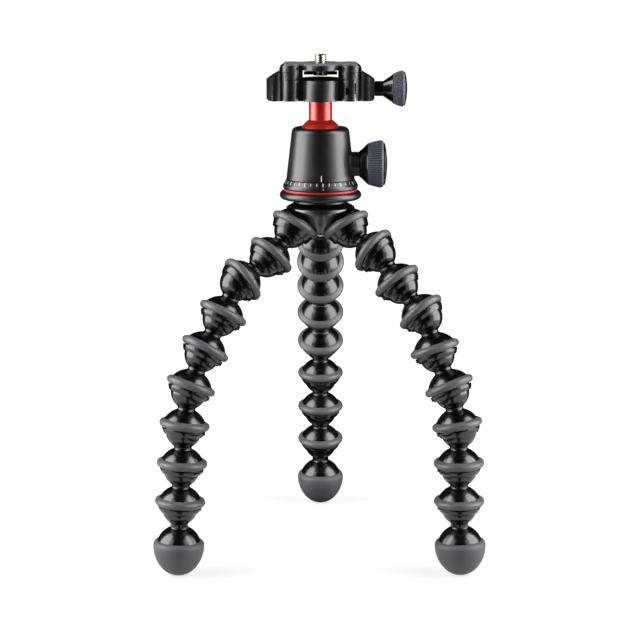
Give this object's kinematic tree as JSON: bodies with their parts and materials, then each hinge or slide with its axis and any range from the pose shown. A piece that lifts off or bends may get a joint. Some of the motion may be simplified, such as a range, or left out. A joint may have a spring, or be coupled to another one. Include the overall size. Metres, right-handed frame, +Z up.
{
  "type": "flexible leg tripod",
  "caption": "Small table tripod with bendable legs of snap-together ball joints, rubber feet, a panning ball head with lock knob and a quick-release clamp with camera plate.",
  "frame": {"origin": "On the floor, at the middle of the box round the part's footprint.", "axes": "+Z up along the head, +Y from the two front legs towards the rear leg, +X towards the knobs."},
  "size_m": [0.1826, 0.167, 0.2818],
  "materials": {
    "black_plastic": "polished moulded black",
    "ring_rubber": "matte dark grey",
    "foot_rubber": "matte mid grey",
    "grip_rubber": "ribbed blue grey",
    "black_aluminium": "satin black anodised",
    "red_aluminium": "red anodised",
    "steel": "bright turned",
    "black_steel": "blackened wire",
    "brass": "turned",
    "white_nylon": "natural"
  },
  "bodies": {
    "stand": {"hub_body": "black_plastic", "hub_grip_rings": "ring_rubber", "hub_seat_disc": "black_aluminium", "hub_stud": "steel", "base_flange": "black_aluminium", "accent_ring": "red_aluminium", "degree_ring": "black_aluminium", "pan_washer": "white_nylon", "spindle_nut": "steel"},
    "head": {"housing": "black_aluminium", "bearing_plate": "steel", "ball_seat": "white_nylon"},
    "plunger": {"wedge_plunger": "brass"},
    "lock_knob": {"lock_knob": "black_plastic", "lock_knob_grip": "grip_rubber", "lock_knob_cap": "black_plastic", "lock_screw": "steel"},
    "ball": {"head_ball": "red_aluminium", "clamp_base": "black_aluminium", "clamp_bolt": "steel", "guide_pins": "steel"},
    "jaw": {"clamp_jaw": "black_aluminium"},
    "clamp_knob": {"clamp_knob": "black_plastic", "clamp_knob_grip": "grip_rubber", "clamp_knob_cap": "black_plastic", "clamp_screw": "steel"},
    "plate": {"quick_plate": "black_aluminium", "plate_pad": "ring_rubber"},
    "camera_screw": {"camera_screw": "steel", "screw_handle": "black_steel"},
    "left_link_1": {"left_link_1": "black_plastic"},
    "left_link_2": {"left_link_2": "black_plastic"},
    "left_link_3": {"left_link_3": "black_plastic"},
    "left_link_4": {"left_link_4": "black_plastic"},
    "left_link_5": {"left_link_5": "black_plastic"},
    "left_link_6": {"left_link_6": "black_plastic"},
    "left_link_7": {"left_link_7": "black_plastic"},
    "left_link_8": {"left_link_8": "black_plastic"},
    "left_foot": {"left_foot": "black_plastic", "left_foot_rubber": "foot_rubber"},
    "right_link_1": {"right_link_1": "black_plastic"},
    "right_link_2": {"right_link_2": "black_plastic"},
    "right_link_3": {"right_link_3": "black_plastic"},
    "right_link_4": {"right_link_4": "black_plastic"},
    "right_link_5": {"right_link_5": "black_plastic"},
    "right_link_6": {"right_link_6": "black_plastic"},
    "right_link_7": {"right_link_7": "black_plastic"},
    "right_link_8": {"right_link_8": "black_plastic"},
    "right_foot": {"right_foot": "black_plastic", "right_foot_rubber": "foot_rubber"},
    "rear_link_1": {"rear_link_1": "black_plastic"},
    "rear_link_2": {"rear_link_2": "black_plastic"},
    "rear_link_3": {"rear_link_3": "black_plastic"},
    "rear_link_4": {"rear_link_4": "black_plastic"},
    "rear_link_5": {"rear_link_5": "black_plastic"},
    "rear_link_6": {"rear_link_6": "black_plastic"},
    "rear_link_7": {"rear_link_7": "black_plastic"},
    "rear_link_8": {"rear_link_8": "black_plastic"},
    "rear_foot": {"rear_foot": "black_plastic", "rear_foot_rubber": "foot_rubber"}
  },
  "joints": [
    {"name": "pan", "type": "hinge", "parent": "stand", "child": "head", "pos_m": [0.00057, -0.02454, 0.21363], "axis": [0, 0, 1], "continuous": true},
    {"name": "plunger_slide", "type": "slide", "parent": "head", "child": "plunger", "axis": [1, 0, 0], "range_m": [0, 0.0008]},
    {"name": "lock_knob_turn", "type": "hinge", "parent": "plunger", "child": "lock_knob", "pos_m": [0.00057, -0.02454, 0.22173], "axis": [1, 0, 0], "range_deg": [0, 360]},
    {"name": "tilt", "type": "hinge", "parent": "head", "child": "ball", "pos_m": [0.00057, -0.02454, 0.23574], "axis": [-1, 0, 0], "range_deg": [-28, 90]},
    {"name": "jaw_slide", "type": "slide", "parent": "ball", "child": "jaw", "axis": [1, 0, 0], "range_m": [0, 0.003]},
    {"name": "clamp_knob_turn", "type": "hinge", "parent": "jaw", "child": "clamp_knob", "pos_m": [0.00057, -0.02454, 0.26314], "axis": [1, 0, 0], "range_deg": [0, 1080]},
    {"name": "plate_slide", "type": "slide", "parent": "ball", "child": "plate", "axis": [0, -1, 0], "range_m": [0, 0.045]},
    {"name": "camera_screw_turn", "type": "hinge", "parent": "plate", "child": "camera_screw", "pos_m": [0.00057, -0.02454, 0.27703], "axis": [0, 0, 1], "continuous": true},
    {"name": "left_bend_1", "type": "hinge", "parent": "stand", "child": "left_link_1", "pos_m": [-0.01528, -0.03369, 0.18593], "axis": [-0.5, 0.866, 0], "range_deg": [-46.5, 23.5]},
    {"name": "left_swing_2", "type": "hinge", "parent": "left_link_1", "child": "left_link_2", "pos_m": [-0.02874, -0.04146, 0.17093], "axis": [-0.6016, -0.3473, 0.7193], "range_deg": [-33.1, 33.1]},
    {"name": "left_bend_3", "type": "hinge", "parent": "left_link_2", "child": "left_link_3", "pos_m": [-0.0446, -0.05062, 0.15948], "axis": [0.5, -0.866, 0], "range_deg": [-63, 7]},
    {"name": "left_swing_4", "type": "hinge", "parent": "left_link_3", "child": "left_link_4", "pos_m": [-0.05395, -0.05602, 0.14078], "axis": [0.75, 0.433, -0.5], "range_deg": [-35, 35]},
    {"name": "left_bend_5", "type": "hinge", "parent": "left_link_4", "child": "left_link_5", "pos_m": [-0.06362, -0.0616, 0.12229], "axis": [-0.5, 0.866, 0], "range_deg": [-26.9, 43.1]},
    {"name": "left_swing_6", "type": "hinge", "parent": "left_link_5", "child": "left_link_6", "pos_m": [-0.07093, -0.06582, 0.1024], "axis": [-0.7972, -0.4603, 0.3907], "range_deg": [-32.4, 32.4]},
    {"name": "left_bend_7", "type": "hinge", "parent": "left_link_6", "child": "left_link_7", "pos_m": [-0.07386, -0.06751, 0.08107], "axis": [0.5, -0.866, 0], "range_deg": [-40, 30]},
    {"name": "left_swing_8", "type": "hinge", "parent": "left_link_7", "child": "left_link_8", "pos_m": [-0.07516, -0.06827, 0.05952], "axis": [0.8639, 0.4988, -0.0698], "range_deg": [-35, 35]},
    {"name": "left_bend_9", "type": "hinge", "parent": "left_link_8", "child": "left_foot", "pos_m": [-0.07647, -0.06902, 0.03798], "axis": [-0.5, 0.866, 0], "range_deg": [-33.5, 36.5]},
    {"name": "right_bend_1", "type": "hinge", "parent": "stand", "child": "right_link_1", "pos_m": [0.01642, -0.03369, 0.18593], "axis": [-0.5, -0.866, 0], "range_deg": [-57.5, 12.5]},
    {"name": "right_swing_2", "type": "hinge", "parent": "right_link_1", "child": "right_link_2", "pos_m": [0.0321, -0.04275, 0.17417], "axis": [0.4717, -0.2723, 0.8387], "range_deg": [-31.1, 31.1]},
    {"name": "right_bend_3", "type": "hinge", "parent": "right_link_2", "child": "right_link_3", "pos_m": [0.04413, -0.04969, 0.15762], "axis": [0.5, 0.866, 0], "range_deg": [-31, 39]},
    {"name": "right_swing_4", "type": "hinge", "parent": "right_link_3", "child": "right_link_4", "pos_m": [0.05712, -0.0572, 0.14209], "axis": [-0.623, 0.3597, -0.6947], "range_deg": [-26.8, 26.8]},
    {"name": "right_bend_5", "type": "hinge", "parent": "right_link_4", "child": "right_link_5", "pos_m": [0.06369, -0.06099, 0.12186], "axis": [-0.5, -0.866, 0], "range_deg": [-39.4, 30.6]},
    {"name": "right_swing_6", "type": "hinge", "parent": "right_link_5", "child": "right_link_6", "pos_m": [0.0716, -0.06555, 0.10229], "axis": [0.7849, -0.4532, 0.4226], "range_deg": [-32.8, 32.8]},
    {"name": "right_bend_7", "type": "hinge", "parent": "right_link_6", "child": "right_link_7", "pos_m": [0.07549, -0.0678, 0.08116], "axis": [0.5, 0.866, 0], "range_deg": [-45, 25]},
    {"name": "right_swing_8", "type": "hinge", "parent": "right_link_7", "child": "right_link_8", "pos_m": [0.07614, -0.06817, 0.05957], "axis": [-0.8655, 0.4997, -0.0349], "range_deg": [-35, 35]},
    {"name": "right_bend_9", "type": "hinge", "parent": "right_link_8", "child": "right_foot", "pos_m": [0.07647, -0.06836, 0.03798], "axis": [-0.5, -0.866, 0], "range_deg": [-36.5, 33.5]},
    {"name": "rear_bend_1", "type": "hinge", "parent": "stand", "child": "rear_link_1", "pos_m": [0.00057, -0.00624, 0.18593], "axis": [1, 0, 0], "range_deg": [-49.5, 20.5]},
    {"name": "rear_swing_2", "type": "hinge", "parent": "rear_link_1", "child": "rear_link_2", "pos_m": [0.00057, 0.01006, 0.17177], "axis": [0, 0.6561, 0.7547], "range_deg": [-35, 35]},
    {"name": "rear_bend_3", "type": "hinge", "parent": "rear_link_2", "child": "rear_link_3", "pos_m": [0.00057, 0.02586, 0.15703], "axis": [-1, 0, 0], "range_deg": [-44, 26]},
    {"name": "rear_swing_4", "type": "hinge", "parent": "rear_link_3", "child": "rear_link_4", "pos_m": [0.00057, 0.03916, 0.14001], "axis": [0, -0.788, -0.6157], "range_deg": [-34.5, 34.5]},
    {"name": "rear_bend_5", "type": "hinge", "parent": "rear_link_4", "child": "rear_link_5", "pos_m": [0.00057, 0.05044, 0.12159], "axis": [1, 0, 0], "range_deg": [-29.5, 40.5]},
    {"name": "rear_swing_6", "type": "hinge", "parent": "rear_link_5", "child": "rear_link_6", "pos_m": [0.00057, 0.05991, 0.10218], "axis": [0, 0.8988, 0.4384], "range_deg": [-30.5, 30.5]},
    {"name": "rear_bend_7", "type": "hinge", "parent": "rear_link_6", "child": "rear_link_7", "pos_m": [0.00057, 0.06291, 0.08079], "axis": [-1, 0, 0], "range_deg": [-37, 33]},
    {"name": "rear_swing_8", "type": "hinge", "parent": "rear_link_7", "child": "rear_link_8", "pos_m": [0.00057, 0.06517, 0.05931], "axis": [0, -0.9945, -0.1045], "range_deg": [-34.9, 34.9]},
    {"name": "rear_bend_9", "type": "hinge", "parent": "rear_link_8", "child": "rear_foot", "pos_m": [0.00057, 0.06855, 0.03798], "axis": [1, 0, 0], "range_deg": [-28.5, 41.5]}
  ],
  "couplings": [
    {"joint": "plunger_slide", "follows": "lock_knob_turn", "m_per_rad": 0.00012732},
    {"joint": "jaw_slide", "follows": "clamp_knob_turn", "m_per_rad": 0.00015915}
  ]
}
